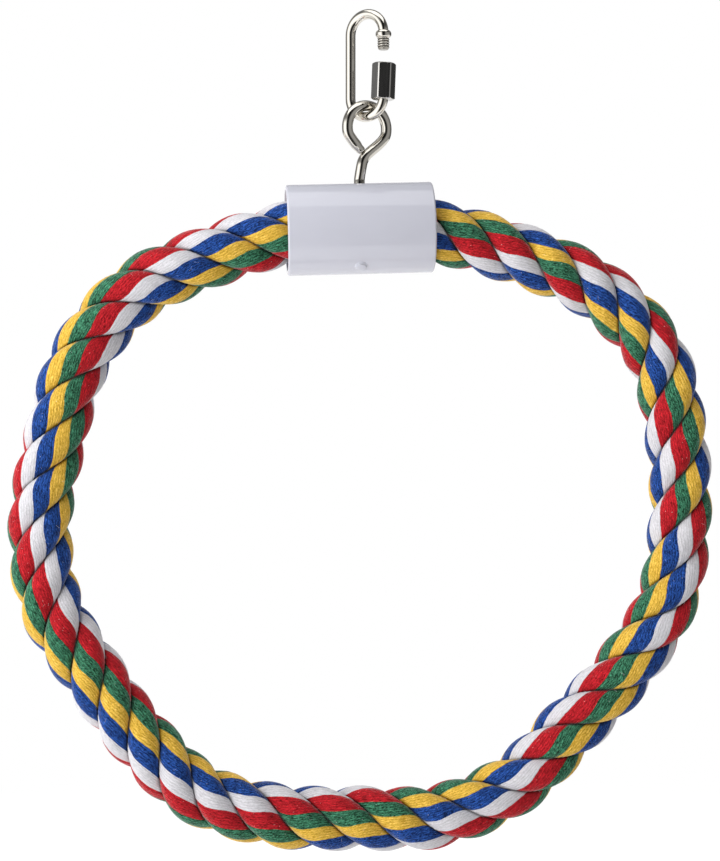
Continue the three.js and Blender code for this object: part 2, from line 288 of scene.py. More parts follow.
# A strand's outline in a square cut: a lobe, two flanks and a hollow, with its corners eased
class Outline:
    def __init__(self, samples=400, easing=3, lobeSteps=120):
        loop = self.evenly(self.corners(lobeSteps), samples)
        for _ in range(easing):
            loop = [(loop[k - 2] + loop[k - 1] + loop[k] + loop[k + 1 - samples] + loop[k + 2 - samples]) / 5
                    for k in range(samples)]
        self.loop = self.evenly(loop, samples)
        self.samples = samples

    def corners(self, lobeSteps):
        sector = math.pi / rope["strands"]
        height = rope["radius"] - rope["strandCentre"]
        rise = height * math.sin(sector)
        spread = rope["halfWidth"] * math.cos(sector)
        reach = (rope["flankGap"] / 2 - rope["strandCentre"] * math.sin(sector)) / math.hypot(rise, spread)
        last = math.acos(reach) - math.atan2(spread, rise)
        lobe = []
        for i in range(lobeSteps + 1):
            angle = last * (2 * i / lobeSteps - 1)
            out = rope["strandCentre"] + height * math.cos(angle)
            lobe.append(Vector((out, rope["halfWidth"] * math.sin(angle))))
        hollow = rope["coreRoom"] / math.cos(sector / 2)
        corner = sector - math.asin(rope["flankGap"] / 2 / hollow)
        inner = [Vector((hollow * math.cos(a), hollow * math.sin(a))) for a in (corner, 0, -corner)]
        crest = len(lobe) // 2
        return lobe[crest:] + inner + lobe[:crest]

    @staticmethod
    def evenly(loop, samples):
        closed = loop + loop[:1]
        marks = [0.0]
        for first, second in zip(closed, closed[1:]):
            marks.append(marks[-1] + (second - first).length)
        even = []
        for k in range(samples):
            target = marks[-1] * k / samples
            i = bisect.bisect_right(marks, target) - 1
            share = (target - marks[i]) / max(marks[i + 1] - marks[i], 1e-12)
            even.append(closed[i].lerp(closed[i + 1], share))
        return even

    def at(self, share):
        place = (share % 1) * self.samples
        i = int(place)
        a = self.loop[i % self.samples]
        b = self.loop[(i + 1) % self.samples]
        along = self.loop[(i + 3) % self.samples] - self.loop[(i - 2) % self.samples]
        return a.lerp(b, place - i), Vector((along.y, -along.x)).normalized()


class Strand:
    def __init__(self, number, route, outline):
        self.number = number
        self.route = route
        self.outline = outline
        self.firstFront = rope["layStart"] + number * rope["layLength"] / rope["strands"]
        self.rows = round(route.length / rope["layLength"] * rope["rowsPerLay"])
        self.stations = [self.station(row / self.rows) for row in range(self.rows + 1)]

    def station(self, along):
        distance = along * self.route.length
        fromMiddle = distance + rope["ends"]
        drift = rope["laySlack"] * math.sin(math.pi * along) ** 4 - rope["layTight"] * (1 - along) ** 4
        turns = (fromMiddle - self.firstFront - drift) / rope["layLength"]
        angle = math.pi / 2 + fullTurn * turns
        outside = facing.cross(self.route.heading(distance)).normalized()
        outward = outside * math.cos(angle) + facing * math.sin(angle)
        sideways = facing * math.cos(angle) - outside * math.sin(angle)
        lean = rope["lean"] * math.sin(2 * (angle - math.pi / 2))
        crest = rope["firstBundle"][self.number] + rope["bundlesPerLay"][self.number] * turns
        crest += lean + self.creep(along)
        perLay, step = rope["swells"]
        swell = rope["unevenness"] * noise.noise(Vector((turns * perLay, self.number * step, 0.0)))
        return self.route.at(distance), outward, sideways, crest, swell

    def creep(self, along):
        steps = rope["creep"][self.number]
        place = along * (len(steps) - 1)
        i = min(int(place), len(steps) - 2)
        return steps[i] + (steps[i + 1] - steps[i]) * (place - i)

    def surface(self, bundle, station):
        middle, outward, sideways, crest, swell = station
        half = rope["bundles"] / 2
        across = (bundle - crest + half) % rope["bundles"] - half
        spread = rope["crestSpread"] * half / math.pi * math.sin(math.pi * across / half)
        place, out = self.outline.at((across + spread) / rope["bundles"])
        return middle + outward * place.x + sideways * place.y, outward * out.x + sideways * out.y, swell

    def place(self, u, v):
        bundle = u * rope["bundles"]
        around = fullTurn * u
        wide, long, step = rope["strays"]
        spot = Vector((wide * math.cos(around), wide * math.sin(around), v * long + self.number * step))
        station = self.stations[round(v * self.rows)]
        point, out, swell = self.surface(bundle + rope["wander"] * noise.noise(spot), station)
        edge = abs((bundle % 1) - 0.5) * 2              # 1 in the middle of a bundle, 0 between two
        groove = rope["bundleGroove"] * max(0.0, 1 - edge * rope["grooveSharpness"]) ** 2
        ridge = rope["yarnGroove"] * (0.5 - 0.5 * math.cos(fullTurn * rope["yarns"] * bundle))
        return point + out * (swell - groove - ridge)


def layStrands(route, cotton):
    outline = Outline()
    columns = rope["bundles"] * rope["yarns"] * 2       # a back and a groove for each yarn
    lays = route.length / rope["layLength"]
    low, high = rope["creaseDepth"]
    strands = []
    for number in range(rope["strands"]):
        strand = Strand(number, route, outline)
        bm = bmesh.new()
        yarnMap = bm.loops.layers.uv.new("yarn")
        creaseMap = bm.loops.layers.uv.new("crease")
        wrapGrid(bm, columns, strand.rows, strand.place)
        # the crease map holds how deep each point lies towards a crease, for the painted crease shade
        for face in bm.faces:
            for loop in face.loops:
                along = loop[yarnMap].uv.y
                middle = strand.stations[round(along * strand.rows)][0]
                loop[creaseMap].uv.x = ((loop.vert.co - middle).length - low) / (high - low)
                loop[yarnMap].uv.y = along * lays + number * rope["patternStep"]
        piece = newPiece(f"laid_strand_{number + 1}", bm, "ring", cotton, 80)
        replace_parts(piece, f"rope_strand_{number + 1}")
        strands.append(strand)
    return strands


cottonLook = {
    "blue": (0.0125, 0.0495, 0.212),
    "yellow": (0.672, 0.410, 0.054),
    "green": (0.0315, 0.130, 0.0725),
    "red": (0.40, 0.0118, 0.0182),
    "white": (0.620, 0.608, 0.638),
    "lint": (0.80, 0.80, 0.76),
    "bandStarts": {"blue": 0.0, "yellow": 1.06, "green": 1.96, "red": 2.94, "white": 4.06},    # in bundles
    "fray": 0.10,              # of the bands' edges, in bundles
    # how strongly a dye shows the streaks, how much deeper it is where streaks and painted shade darken it, and
    # the painted light left in its creases
    "streaks": {"blue": 4.1, "yellow": 0.85, "green": 4.5, "red": 2.1, "white": 0.55},
    "deepening": {"blue": 0.0, "yellow": 0.65, "green": 0.0, "red": 0.0, "white": 0.0},
    "paintedCreaseLight": {"blue": 0.2, "yellow": 0.45, "green": 0.2, "red": 0.25, "white": 0.6},
    # how much of each part is in the streaks and in the relief; the raised part in the streaks is painted shade
    # over each yarn's round back
    "mottle": {"yarnTone": 0.3, "stitch": 0.45, "fibres": 1.1, "grain": 0.9, "twist": 0.07, "raisedShade": 0.16},
    "relief": {"fibres": 0.8, "stitch": 0.4, "grain": 0.4, "twist": 0.1, "ridge": 0.25},
    "reliefDepth": 0.24 * mm,
    "noises": {                # how fine across the yarns and along them, and the detail
        "fray": (2.5, 0.35, 4.0), "swing": (0.9, 0.45, 3.0), "yarnTone": (3.7, 0.2, 1.0),
        "stitch": (5.1, 0.8, 1.0), "fibres": (4.2, 0.45, 2.0), "grain": (3.9, 1.4, 1.0),
    },
    "swing": 1.2,              # how far the lines between yarns wander, in yarns
    "twist": (0.75, 0.8, 4),   # turns in a millimetre, from yarn to yarn, and by the yarn's tone
    "lines": 0.12,             # how dark the painted shade in the lines between yarns is
    "ridgeMean": 0.6,
    "darkest": 0.25,           # no streak is darker
    "specks": {"cell": (1.5, 0.8), "scale": 0.5, "size": 0.07, "onFibres": (-0.15, 0.1), "cover": 0.6},
    "rough": (0.88, 0.2),      # and how much smoother the fibres are
    "sheen": (0.42, 0.28),     # weight and roughness
    "gloss": 0.15,
}


def cottonFinish():
    finish = Finish("dyed_cotton")
    yarn = finish.add("ShaderNodeUVMap", {"uv_map": "yarn"})
    bundle = finish.part(yarn, 0) * rope["bundles"]
    along = finish.part(yarn, 1) * (rope["layLength"] / mm)     # millimetres along the rope
    across = bundle * rope["bundleWidth"]                       # millimetres across the yarns

    def spun(name, sideways, lengthways=along):
        fine, long, detail = cottonLook["noises"][name]
        return finish.noise(finish.vector(sideways * fine, lengthways * long), 1.0, detail) - 0.5
    edged = bundle + spun("fray", across) * cottonLook["fray"]
    bands = cottonLook["bandStarts"]
    tone = ((edged + 0.5) % len(bands)) / len(bands)

    def byBand(values):
        stops = [(start / len(bands), values[name]) for name, start in bands.items()]
        return finish.add("ShaderNodeValToRGB", {"stops": stops, "blend": "CONSTANT"}, {0: tone})

    def levels(key):
        return byBand({name: (value,) * 3 for name, value in cottonLook[key].items()})
    dyed = byBand(cottonLook)
    streaks, deepening, paintedCreaseLight = levels("streaks"), levels("deepening"), levels("paintedCreaseLight")
    yarnPhase = bundle * rope["yarns"] + 0.5 + spun("swing", across) * cottonLook["swing"]
    number = finish.maths("FLOOR", yarnPhase)
    fold = finish.maths("ABSOLUTE", yarnPhase - number - 0.5) * 2      # 0 on a yarn's back, 1 between two
    ridge = 1 - fold * fold
    # painted shade across each yarn: lighter on its round back, darker in the lines between yarns
    raisedShade = ridge - cottonLook["ridgeMean"]
    yarnTone = spun("yarnTone", number)
    fibres = spun("fibres", across)
    perMillimetre, perYarn, byTone = cottonLook["twist"]
    turns = along * perMillimetre + yarnPhase * perYarn + yarnTone * byTone
    parts = {
        "yarnTone": yarnTone,
        "stitch": spun("stitch", number, along + fold),
        "fibres": fibres,
        "grain": spun("grain", across),
        "twist": finish.maths("SINE", turns * fullTurn) * 0.5,
        "ridge": ridge,
        "raisedShade": raisedShade,
    }

    def weighed(key):
        first, *others = [parts[name] * weight for name, weight in cottonLook[key].items()]
        return sum(others, first)
    mottled = finish.maths("MAXIMUM", 1 + streaks * weighed("mottle"), cottonLook["darkest"])
    # painted shade in the lines between yarns
    gapShaded = 1 + cottonLook["lines"] * raisedShade
    # painted shade: the dye darkens towards the creases between strands
    crease = finish.part(finish.add("ShaderNodeUVMap", {"uv_map": "crease"}), 0)
    lit = finish.stretch(crease, 0.0, 1.0)
    light = mottled * gapShaded * (paintedCreaseLight + (1 - paintedCreaseLight) * lit)
    shade = finish.add("ShaderNodeCombineColor", None, {0: light, 1: light, 2: light})
    # the dye turns deeper where painted shade and dark streaks fall, and paler in bright streaks
    deepened = finish.add("ShaderNodeGamma", None, {"Color": dyed, "Gamma": 1 + deepening * (1 - light)})
    shaded = finish.mix(1.0, deepened, shade, "MULTIPLY")
    specks = cottonLook["specks"]
    fine, long = specks["cell"]
    cell = finish.vector(across * fine, along * long)
    toSpeck = finish.add("ShaderNodeTexVoronoi", {"feature": "F1"}, {"Vector": cell, "Scale": specks["scale"]})
    speckled = (toSpeck < specks["size"]) * finish.stretch(fibres, *specks["onFibres"])
    shaded = finish.mix(speckled * specks["cover"], shaded, (*cottonLook["lint"], 1))
    rough, smoother = cottonLook["rough"]
    relief = finish.bump(weighed("relief"), cottonLook["reliefDepth"])
    finish.set(Base_Color=shaded, Roughness=rough - fibres * smoother, Normal=relief)
    weight, spread = cottonLook["sheen"]
    return finish.set(Sheen_Weight=weight, Sheen_Roughness=spread, Specular_IOR_Level=cottonLook["gloss"])


# Stray fibres that stand off the yarns
lintLook = {
    "count": 420,
    "seed": 7,
    "thickness": 0.022 * mm,
    "length": (0.6 * mm, 1.9 * mm),
    "rise": (0.09 * mm, 0.48 * mm),
    "curl": 0.5,
    "sink": 0.1 * mm,          # a fibre's ends are inside the yarn
    "bends": (0, 0.35, 0.7, 1),
    "aside": 2.3,              # how far from a strand's crest they grow, in bundles
    "bareRows": 40,            # none near the rope's ends, which the sleeve hides
    "tones": ((0.62, 0.62, 0.64, 1), (0.86, 0.86, 0.84, 1)),
    "patches": 90.0,
    "patchEdge": (0.35, 0.65),
    "rough": 0.95,
    "sheen": 0.1,
}


def strayFibres(strands, lint):
    draw = random.Random(lintLook["seed"])
    bare = lintLook["bareRows"]
    bm = bmesh.new()
    for _ in range(lintLook["count"]):
        strand = draw.choice(strands)
        station = draw.choice(strand.stations[bare:-bare])
        crest = station[3]
        bundle = crest + draw.uniform(-lintLook["aside"], lintLook["aside"])
        point, out = strand.surface(bundle, station)[:2]
        side = out.orthogonal().normalized()
        side.rotate(Matrix.Rotation(draw.uniform(0, fullTurn), 3, out))
        length = draw.uniform(*lintLook["length"])
        rise = draw.uniform(*lintLook["rise"])
        curl = out.cross(side) * draw.uniform(-lintLook["curl"], lintLook["curl"])
        bends = [point + side * (length * (t - 0.5)) + curl * (length * t * (1 - t))
                 + out * (rise * math.sin(math.pi * t) - lintLook["sink"]) for t in lintLook["bends"]]
        fibre = Line(bends, 4)

        def place(u, v):
            heading = fibre.heading(v * fibre.length)
            first = heading.orthogonal().normalized()
            second = heading.cross(first)
            angle = fullTurn * u
            aside = first * math.cos(angle) + second * math.sin(angle)
            return fibre.at(v * fibre.length) + aside * lintLook["thickness"]
        wrapGrid(bm, 3, 5, place)
    newPiece("stray_fibres", bm, "ring", lint, 180)


def lintFinish():
    finish = Finish("loose_cotton")
    patches = finish.noise(finish.objectPlace(), lintLook["patches"], 2.0)
    tone = finish.mix(finish.stretch(patches, *lintLook["patchEdge"]), *lintLook["tones"])
    return finish.set(Base_Color=tone, Roughness=lintLook["rough"], Sheen_Weight=lintLook["sheen"])


# Sleeve and the cap over the screw's tip
sleeve = {
    "length": 52.7 * mm,
    "bore": 14.5 * mm,
    "radius": 16.3 * mm,
    "edge": 0.8 * mm,
    "innerEdge": 0.35 * mm,
    "columns": 128,
}
screw = {
    "tilt": math.radians(15),  # it goes in at the top and comes out low on the front
    "wire": 1.95 * mm,
    "tip": 0.9 * mm,
    "tipLength": 3.2 * mm,
    "tipOut": 0.3 * mm,
    "tipTaper": 2 * mm,
    "holeGap": 0.3 * mm,
    "drill": 1.2,              # its length, in radii of the sleeve
}
cap = {
    "radius": 2.0 * mm,
    "height": 0.9 * mm,
    "flare": 0.55 * mm,
    "sink": 0.3 * mm,
    "domeRows": 12,
    "footRows": 6,
    "columns": 48,
}
screwAxis = Vector((0, math.sin(screw["tilt"]), math.cos(screw["tilt"])))
screwTop = sleevePlace["middle"] + upwards * sleeve["radius"]
screwReach = 2 * sleeve["radius"] * math.cos(screw["tilt"])     # from the sleeve's top to the tip's hole
tipOutward = Vector((0, -math.sin(2 * screw["tilt"]), -math.cos(2 * screw["tilt"])))


def onScrew(distance):
    return screwTop + screwAxis * distance


def drillHole(piece, start, direction, radius, depth, columns=32):
    bm = bmesh.new()
    spinProfile(bm, [(0, 0), (radius, 0), (radius, depth), (0, depth)], start, direction, columns)
    bmesh.ops.remove_doubles(bm, verts=bm.verts, dist=mergeGap)
    bmesh.ops.recalc_face_normals(bm, faces=bm.faces)
    drill = toScene("drill", bm)
    cut = piece.modifiers.new("hole", "BOOLEAN")
    cut.object = drill
    cut.solver = "EXACT"
    drilled = bpy.data.meshes.new_from_object(piece.evaluated_get(bpy.context.evaluated_depsgraph_get()))
    piece.modifiers.clear()
    piece.data = drilled
    bpy.data.objects.remove(drill)


def mouldSleeve(plastic):
    half = sleeve["length"] / 2
    edge = sleeve["edge"]
    inner = sleeve["innerEdge"]
    radius = sleeve["radius"]
    bore = sleeve["bore"]
    rightEnd = roundCorner((radius - edge, half - edge), edge, 0, 90) + \
        roundCorner((bore + inner, half - inner), inner, 90, 180)
    profile = rightEnd + [(r, -h) for r, h in reversed(rightEnd)]
    bm = bmesh.new()
    spinProfile(bm, profile + profile[:1], sleevePlace["middle"], sleeveAxis, sleeve["columns"])
    piece = newPiece("sleeve_tube", bm, "ring", plastic, 50)
    drillHole(piece, onScrew(-radius), screwAxis, screw["wire"] + screw["holeGap"], radius * screw["drill"])
    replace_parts(piece, "sleeve")


def capScrewTip(plastic):
    flare = cap["flare"]
    rise = cap["height"] - flare
    angles = [math.pi / 2 * i / cap["domeRows"] for i in range(1, cap["domeRows"] + 1)]
    dome = [(cap["radius"] * math.cos(a), flare + rise * math.sin(a)) for a in angles]
    foot = roundCorner((cap["radius"] + flare, flare), flare, 270, 180, cap["footRows"])
    rim = (cap["radius"] + flare, -cap["sink"])
    bm = bmesh.new()
    base = onScrew(-screwReach)
    spinProfile(bm, [(0, -cap["sink"]), rim, *foot, *dome], base, tipOutward, cap["columns"])
    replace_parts(newPiece("screw_cap", bm, "ring", plastic, 50), "tip_cap")


plasticLook = {
    "tones": ((0.545, 0.55, 0.62, 1), (0.565, 0.57, 0.64, 1)),
    "drawn": (12, 900, 900),   # faint lines along the pipe
    "drawnDepth": 0.012 * mm,
    "cloud": 60.0,
    "scuffs": (300, 60, 500),
    "scuffed": (0.62, 0.75),   # between these levels of their noise
    "rough": {"plain": 0.07, "cloud": 0.03, "scuffs": 0.06},
    "ior": 1.5,
}


def plasticFinish():
    finish = Finish("white_plastic")
    turn = (0, sleevePlace["tilt"], 0)
    drawn = finish.noise(finish.objectPlace(turn, plasticLook["drawn"]), 1.0, 2.0)
    cloud = finish.noise(finish.objectPlace(turn), plasticLook["cloud"], 3.0)
    scuffs = finish.noise(finish.objectPlace(turn, plasticLook["scuffs"]), 1.0, 4.0)
    scuffs = finish.stretch(scuffs, *plasticLook["scuffed"])
    tone = finish.mix(cloud, *plasticLook["tones"])
    rough = plasticLook["rough"]
    rough = rough["plain"] + cloud * rough["cloud"] + scuffs * rough["scuffs"]
    lines = finish.bump(drawn, plasticLook["drawnDepth"])
    return finish.set(Base_Color=tone, Roughness=rough, Normal=lines, IOR=plasticLook["ior"])


# Bent eye screw
eye = {
    "radius": 8 * mm,
    "top": -31.15 * mm,
    "turn": math.radians(25),
    "neckRise": 1.4 * mm,
    "opening": math.radians(106),
    "loopSteps": 12,
    "neckBends": (             # in loop radii
        (-0.28, 2.76), (-0.21, 2.50), (-0.06, 2.27), (0.16, 2.07), (0.40, 1.88), (0.63, 1.69), (0.82, 1.50),
    ),
    "closingEnd": ((-0.75, 1.57), (-0.49, 1.85), (-0.24, 2.08)),
    "edge": 0.8 * mm,
    "pinch": (3.4 * mm, 1.6 * mm, 0.16),     # the squeezed end's length, its taper and how much thinner it is
    "columns": 40,
    "rows": 300,
}


def eyeLine():
    neck = onScrew(eye["neckRise"])
    lean = math.atan2(neck.y, eye["top"] - neck.z)
    right = Vector((math.cos(eye["turn"]), math.sin(eye["turn"]), 0))
    down = Vector((0, math.sin(lean), -math.cos(lean)))

    def inLoop(across, below):
        return upwards * eye["top"] + (right * across + down * below) * eye["radius"]
    shank = [onScrew(-screwReach * share) for share in (0.75, 0.5, 0.25, 0)]
    points = [onScrew(-screwReach - screw["tipOut"]), *shank, neck]
    points += [inLoop(*bend) for bend in eye["neckBends"]]
    for i in range(eye["loopSteps"] + 1):
        angle = eye["opening"] * (1 - 2 * i / eye["loopSteps"])
        points.append(inLoop(math.sin(angle), 1 - math.cos(angle)))
    points += [inLoop(*bend) for bend in eye["closingEnd"]]
    return Line(points)


# A round wire along a line: its radius may change along it, and its ends are rounded
def drawWire(bm, line, radius, columns, rows, edge):
    side = line.heading(0).orthogonal().normalized()
    arc = 5                    # rows that round each end
    frames = []
    for row in range(rows + 1):
        fromEnd = min(row, rows - row)
        share = min(max((row - arc) / (rows - 2 * arc), 0), 1)
        distance = edge + (line.length - 2 * edge) * share
        inset = 0.0
        if fromEnd < arc:
            angle = math.pi / 2 * max(fromEnd - 1, 0) / (arc - 1)
            distance += edge * math.cos(angle) * (-1 if row < arc else 1)
            inset = edge * (1 - math.sin(angle))
        heading = line.heading(distance)
        side = (side - heading * side.dot(heading)).normalized()
        size = radius(distance) - inset if fromEnd else 0.0
        frames.append((line.at(distance), side.copy(), heading.cross(side), size))

    def place(u, v):
        middle, first, second, size = frames[round(v * rows)]
        return middle + (first * math.cos(fullTurn * u) + second * math.sin(fullTurn * u)) * size
    wrapGrid(bm, columns, rows, place)


def bendEye(nickel):
    line = eyeLine()
    squeezed, taper, thinner = eye["pinch"]

    def radius(distance):
        share = min(max((distance - screw["tipLength"]) / screw["tipTaper"], 0), 1)
        nearEnd = min(max((distance - line.length + squeezed) / taper, 0), 1)
        return (screw["tip"] + (screw["wire"] - screw["tip"]) * share) * (1 - thinner * nearEnd)
    bm = bmesh.new()
    drawWire(bm, line, radius, eye["columns"], eye["rows"], eye["edge"])
    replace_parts(newPiece("eye_wire", bm, "ring", nickel, 35), "eye_screw")


# Quick link with its threaded ends, and the long nut
link = {
    "wire": 1.8 * mm,
    "bend": 7.125 * mm,
    "topAxis": 1.8 * mm,
    "bottomAxis": -35.2 * mm,
    "turn": math.radians(38),
    "stubTop": -7.6 * mm,
    "stubLength": 4.1 * mm,
    "stubRoot": 0.5 * mm,      # of its thread, inside the collar
    "legTip": -16.475 * mm,
    "legThread": 6 * mm,
    "legCore": 1 * mm,         # the plain wire ends this far inside the leg's tip
    "collar": (2.85 * mm, 3.0 * mm, 1.35 * mm),  # radius, height and rounding
    "collarColumns": 48,
    "thread": (2.2 * mm, 0.26 * mm, 0.9 * mm),   # radius, depth and pitch
    "threadRows": 14,          # in one pitch
    "tipCone": (0.9 * mm, 0.26),                 # length, and how much slimmer the tip is
    "tipShade": 0.55,          # how much painted shade darkens the stub's tip
    "edge": 0.2 * mm,
    "columns": 40,
    "rows": 320,
    "bendSteps": 24,
}
nut = {
    "sides": 6,
    "flats": 7.7 * mm,
    "length": 13.1 * mm,
    "lean": math.radians(2.2), # it sits a little crooked in the play of its thread
    "cornerEase": 0.16 * mm,
    "flatStops": (-30, -28.4, -26.6, -20, -13, -6, 0, 6, 13, 20, 26.6, 28.4),    # degrees from a flat's middle
    "cone": (0.985, 0.62, 0.05 * mm),        # eases the corners: its start on the flats, slope and least drop
    "rim": (0.12 * mm, 0.04 * mm, 0.1 * mm), # inwards, towards the face and towards the flats
    "face": 0.93,              # how much of the flats' width is level
    "bore": 2.5 * mm,
    "mouth": 0.45 * mm,        # how much wider the bore's ends are
    "lead": 0.5 * mm,          # from an end to the thread
    "threadDepth": 0.3 * mm,
    "threadFade": 8,           # it fades over an eighth of its length at either end
    "boreRows": 56,
    "outerRows": 8,
}
linkAcross = Vector((math.cos(link["turn"]), -math.sin(link["turn"]), 0))


def onLeg(height):
    return linkAcross * link["bend"] + upwards * height


def linkLine():
    bend = link["bend"]
    high = link["topAxis"] - bend
    low = link["bottomAxis"] + bend
    stub = link["stubTop"]
    tip = link["legTip"] - link["legCore"]

    def upright(across, first, last, steps):
        return [(across, first + (last - first) * i / steps) for i in range(1, steps)]
    flat = [(bend, stub), *upright(bend, stub, high, 3)]
    flat += roundCorner((0, high), bend, 0, 180, link["bendSteps"])
    flat += upright(-bend, high, low, 8)
    flat += roundCorner((0, low), bend, 180, 360, link["bendSteps"])
    flat += [*upright(bend, low, tip, 4), (bend, tip)]
    return Line([linkAcross * across + upwards * height for across, height in flat], 8)


def cutThread(bm, base, length, tipUp):
    crest, depth, pitch = link["thread"]
    cone, slimmer = link["tipCone"]
    rows = round(length / pitch * link["threadRows"])

    def place(u, v):
        row = round(v * rows)
        height = min(max((row - 1) / (rows - 2), 0), 1) * length
        size = crest - depth * (0.5 - 0.5 * math.cos(fullTurn * (height / pitch - u)))
        fromTip = min(length - height if tipUp else height, cone)
        size = min(size, crest * (1 - slimmer * (1 - fromTip / cone)))
        if row in (0, rows):
            size = 0.0
        angle = fullTurn * u
        return base + Vector((math.cos(angle), math.sin(angle), 0)) * size + upwards * height
    wrapGrid(bm, link["columns"], rows, place)


def bendLink(nickel):
    bm = bmesh.new()
    drawWire(bm, linkLine(), lambda distance: link["wire"], link["columns"], link["rows"], link["edge"])
    radius, height, ease = link["collar"]
    lower = roundCorner((radius - ease, ease), ease, -90, 0, 6)
    upper = roundCorner((radius - ease, height - ease), ease, 0, 90, 6)
    collar = [(0, 0), *lower, *upper, (0, height)]
    spinProfile(bm, collar, onLeg(link["stubTop"]), upwards, link["collarColumns"])
    stub, leg = link["stubLength"], link["legThread"]
    cutThread(bm, onLeg(link["stubTop"] - stub), stub + link["stubRoot"], False)
    cutThread(bm, onLeg(link["legTip"] - leg), leg, True)
    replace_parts(newPiece("link_wire", bm, "hanger", nickel, 35), "quick_link")


boreRows = nut["boreRows"]
nutRows = boreRows + nut["outerRows"]
# where the flats' middle lies in the rows, how far a rim is from it, and the rim's width
nutRims = ((boreRows + 4.5) / nutRows, 1.5 / nutRows, 0.75 / nutRows)


def turnNut(nickel):
    sides = nut["sides"]
    columns = sides * len(nut["flatStops"])
    half = nut["flats"] / 2
    corner = half / math.cos(math.pi / sides)
    length = nut["length"]
    pitch = link["thread"][2]

    def hexRadius(angle):
        flat = (angle + math.pi / sides) % (fullTurn / sides) - math.pi / sides
        return min(half / math.cos(flat), corner - nut["cornerEase"])

    def outside(outer):                                  # from the upper mouth over the flats to the lower one
        start, slope, least = nut["cone"]
        drop = max(0, outer - half * start) * slope + least
        inwards, toFace, toFlats = nut["rim"]
        upper = [(nut["bore"] + nut["mouth"], length), (half * nut["face"], length),
                 (outer - inwards, length - drop + toFace), (outer, length - drop - toFlats)]
        return upper + [(size, length - height) for size, height in reversed(upper)]
    stops = [math.radians(side * 360 / sides - 90 + stop) for side in range(sides) for stop in nut["flatStops"]]
    stops.append(stops[0] + fullTurn)
    middle = onLeg(link["legTip"] - length / 2)
    crooked = Matrix.Rotation(nut["lean"], 3, "Y")

    def place(u, v):
        angle = stops[round(u * columns)]
        row = round(v * nutRows)
        if row <= boreRows:                              # the bore with its thread
            share = row / boreRows
            height = nut["lead"] + (length - 2 * nut["lead"]) * share
            wave = abs(((height / pitch - angle / fullTurn) % 1) * 2 - 1)
            fade = min(1, nut["threadFade"] * share, nut["threadFade"] * (1 - share))
            size = nut["bore"] - nut["threadDepth"] * wave * fade
        else:
            size, height = outside(hexRadius(angle + math.pi / 2))[row - boreRows - 1]
        across = Vector((math.cos(angle), math.sin(angle), 0)) * size
        return middle + crooked @ (across + upwards * (height - length / 2))
    bm = bmesh.new()
    bm.loops.layers.uv.new("flats")
    wrapGrid(bm, columns, nutRows, place)
    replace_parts(newPiece("hexagon_nut", bm, "nut", nickel, 24), "link_nut")


# Painted shade in the grooves of the link's open thread and on the stub's tip
def threadShadeMask(finish):
    crest, depth = link["thread"][:2]
    cone = link["tipCone"][0]
    place = finish.add("ShaderNodeTexCoord", None, None, "Object")
    axis = onLeg(link["stubTop"])
    tipHeight = axis.z - link["stubLength"]
    toSide = finish.part(place, 0) - axis.x
    toBack = finish.part(place, 1) - axis.y
    height = finish.part(place, 2)
    fromAxis = finish.maths("SQRT", toSide * toSide + toBack * toBack)
    onStub = (height < axis.z) * (height > tipHeight - crest) * (fromAxis < crest * 1.1)
    groove = 1 - finish.stretch(fromAxis, crest - depth * 0.9, crest - depth * 0.1)
    tip = height < tipHeight + cone
    return onStub * (tip * link["tipShade"] + (1 - tip) * groove)


nickelLook = {
    "clean": (0.66, 0.63, 0.57, 1),
    "stained": (0.42, 0.39, 0.34, 1),
    "threadShadeTone": (0.10, 0.09, 0.075, 1),
    "cloud": 160.0,
    "stains": 420.0,
    "stainLevels": (0.60, 0.76),
    "stainCover": 0.3,
    "rough": {"plain": 0.07, "cloud": 0.06, "stain": 0.12, "threadShade": 0.3},
    "dents": 0.006 * mm,
}


def nickelFinish():
    finish = Finish("bright_nickel")
    cloud = finish.noise(finish.objectPlace(), nickelLook["cloud"], 3.0)
    stain = finish.noise(finish.objectPlace(), nickelLook["stains"], 5.0)
    stain = finish.stretch(stain, *nickelLook["stainLevels"])
    # painted shade darkens the thread's grooves and the stub's tip
    threadShade = threadShadeMask(finish)
    colour = finish.mix(stain * nickelLook["stainCover"], nickelLook["clean"], nickelLook["stained"])
    colour = finish.mix(threadShade, colour, nickelLook["threadShadeTone"])
    rough = nickelLook["rough"]
    rough = rough["plain"] + cloud * rough["cloud"] + stain * rough["stain"] + threadShade * rough["threadShade"]
    dents = finish.bump(cloud, nickelLook["dents"])
    return finish.set(Base_Color=colour, Metallic=1.0, Roughness=rough, Normal=dents)


# The nut's flats are dull and dark, and its corners and rims are brighter, partly rubbed and partly a painted
# highlight
nutLook = {
    "dull": ((0.30, 0.295, 0.29, 1), (0.66, 0.65, 0.63, 1)),
    "wornHighlight": (0.66, 0.64, 0.60, 1),
    "drawn": (2600, 2600, 160),              # fine lines along the nut
    "drawnDepth": 0.01 * mm,
    "cloud": 500.0,
    "corner": (0.05, 0.12),    # how far the rubbing reaches, in flats
    "cornerFray": 0.03,
    "rimShare": 0.7,           # of the rim's width is fully rubbed and painted bright
    "rough": {"plain": 0.09, "wornAndHighlit": 0.05, "cloud": 0.10},
}


